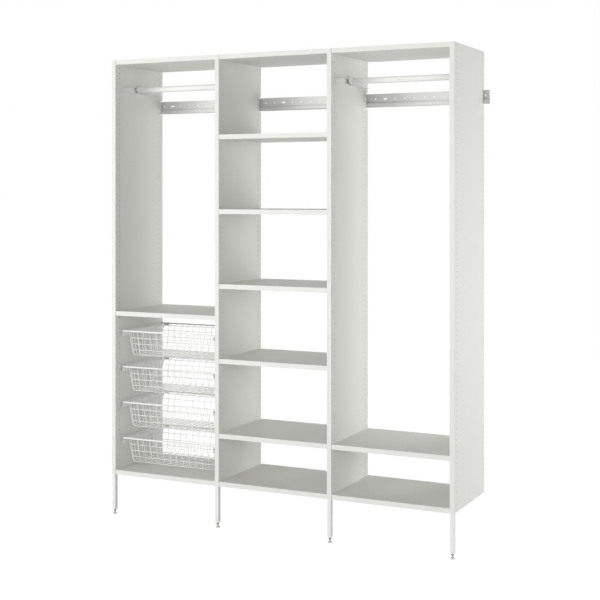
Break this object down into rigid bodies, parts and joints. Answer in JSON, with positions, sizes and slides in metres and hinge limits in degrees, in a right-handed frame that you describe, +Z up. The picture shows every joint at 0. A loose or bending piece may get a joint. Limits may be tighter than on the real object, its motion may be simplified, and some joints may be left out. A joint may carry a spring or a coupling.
{
  "type": "closet system",
  "caption": "Open wardrobe of white boards in bays, with shelves, clothes rails and wire baskets on runners, hung on a steel wall rail and carried by slim front legs.",
  "frame": {"origin": "on the floor, in the middle of the width, halfway between the front edges and the wall", "axes": "+X to the right seen from the front, +Y from the front to the wall, +Z up"},
  "size_m": [1.833, 0.4, 2.218],
  "materials": {
    "white_board": "satin white facing",
    "leg_steel": "white powder coat",
    "runner_steel": "white powder coat",
    "basket_wire": "white powder coat",
    "bracket_steel": "white powder coat",
    "foot": "pale disc on a dark stem",
    "zinc": "zinc plated",
    "black_plastic": "matt",
    "dark_steel": "black",
    "galvanised_steel": "galvanised sheet",
    "clothes_rail": "white lacquer",
    "holder_plastic": "satin"
  },
  "bodies": {
    "closet": {"left_side_panel": "white_board", "left_divider": "white_board", "right_divider": "white_board", "right_side_panel": "white_board", "left_bay_top_shelf": "white_board", "left_bay_middle_shelf": "white_board", "left_bay_bottom_shelf": "white_board", "middle_bay_top_shelf": "white_board", "middle_bay_shelf_1": "white_board", "middle_bay_shelf_2": "white_board", "middle_bay_shelf_3": "white_board", "middle_bay_shelf_4": "white_board", "middle_bay_shelf_5": "white_board", "middle_bay_bottom_shelf": "white_board", "right_bay_top_shelf": "white_board", "right_bay_low_shelf": "white_board", "right_bay_bottom_shelf": "white_board", "left_side_leg": "leg_steel", "left_divider_leg": "leg_steel", "right_divider_leg": "leg_steel", "right_side_leg": "leg_steel", "basket_1_left_runner": "runner_steel", "basket_1_right_runner": "runner_steel", "basket_2_left_runner": "runner_steel", "basket_2_right_runner": "runner_steel", "basket_3_left_runner": "runner_steel", "basket_3_right_runner": "runner_steel", "basket_4_left_runner": "runner_steel", "basket_4_right_runner": "runner_steel", "left_rail_left_bracket": "bracket_steel", "left_rail_right_bracket": "bracket_steel", "right_rail_left_bracket": "bracket_steel", "right_rail_right_bracket": "bracket_steel", "shelf_pins": "zinc", "cam_bolts": "zinc", "cam_locks": "zinc", "hook_screws": "zinc", "bracket_screws": "zinc", "runner_screws": "zinc", "leg_bolts": "zinc", "panel_hooks": "zinc", "leg_top_plugs": "black_plastic", "leg_sockets": "dark_steel", "wall_rail": "galvanised_steel", "left_clothes_rail": "clothes_rail", "right_clothes_rail": "clothes_rail", "clothes_rail_holders": "holder_plastic"},
    "basket_1": {"basket_1_frame": "basket_wire", "basket_1_mesh": "basket_wire"},
    "basket_2": {"basket_2_frame": "basket_wire", "basket_2_mesh": "basket_wire"},
    "basket_3": {"basket_3_frame": "basket_wire", "basket_3_mesh": "basket_wire"},
    "basket_4": {"basket_4_frame": "basket_wire", "basket_4_mesh": "basket_wire"},
    "foot_1": {"levelling_foot_1": "foot"},
    "foot_2": {"levelling_foot_2": "foot"},
    "foot_3": {"levelling_foot_3": "foot"},
    "foot_4": {"levelling_foot_4": "foot"}
  },
  "joints": [
    {"name": "basket_1_slide", "type": "slide", "parent": "closet", "child": "basket_1", "axis": [0, -1, 0], "range_m": [0, 0.25]},
    {"name": "basket_2_slide", "type": "slide", "parent": "closet", "child": "basket_2", "axis": [0, -1, 0], "range_m": [0, 0.25]},
    {"name": "basket_3_slide", "type": "slide", "parent": "closet", "child": "basket_3", "axis": [0, -1, 0], "range_m": [0, 0.25]},
    {"name": "basket_4_slide", "type": "slide", "parent": "closet", "child": "basket_4", "axis": [0, -1, 0], "range_m": [0, 0.25]},
    {"name": "foot_1_screw_travel", "type": "slide", "parent": "closet", "child": "foot_1", "axis": [0, 0, 1], "range_m": [-0.01, 0.008]},
    {"name": "foot_2_screw_travel", "type": "slide", "parent": "closet", "child": "foot_2", "axis": [0, 0, 1], "range_m": [-0.01, 0.008]},
    {"name": "foot_3_screw_travel", "type": "slide", "parent": "closet", "child": "foot_3", "axis": [0, 0, 1], "range_m": [-0.01, 0.008]},
    {"name": "foot_4_screw_travel", "type": "slide", "parent": "closet", "child": "foot_4", "axis": [0, 0, 1], "range_m": [-0.01, 0.008]}
  ]
}
